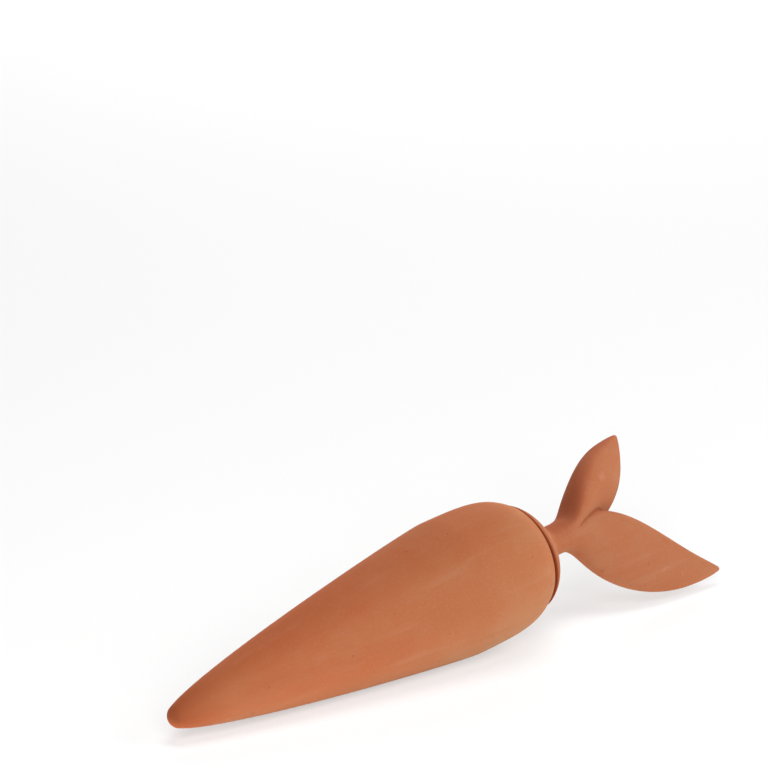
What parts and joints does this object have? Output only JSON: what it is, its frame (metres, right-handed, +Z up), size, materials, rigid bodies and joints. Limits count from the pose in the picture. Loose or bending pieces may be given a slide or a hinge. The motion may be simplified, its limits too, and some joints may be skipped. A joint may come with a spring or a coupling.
{
  "type": "self watering spike",
  "caption": "Hollow carrot-shaped spike of unglazed clay that is filled with water and pushed tip first into plant soil, closed by a lift-off clay stopper with leaves.",
  "frame": {"origin": "On the floor plane, under the middle of the bounding box of the spike as it lies on its flank.", "axes": "+X runs along the spike from the tip to the leaves, +Y across it and +Z up. The spike's own axis lies in the X-Z plane and rises 7 degrees from the tip to the leaves."},
  "size_m": [0.2588, 0.05, 0.0564],
  "materials": {
    "body_clay": "unglazed orange-brown terracotta, matte, smoothed by hand",
    "stopper_clay": "unglazed orange-brown terracotta, matte, smoothed by hand"
  },
  "bodies": {
    "reservoir": {"reservoir_body": "body_clay"},
    "stopper": {"leaf_stopper": "stopper_clay"}
  },
  "joints": [
    {"name": "stopper_lift", "type": "slide", "parent": "reservoir", "child": "stopper", "axis": [0.9925, 0, 0.1219], "range_m": [0, 0.08]}
  ]
}
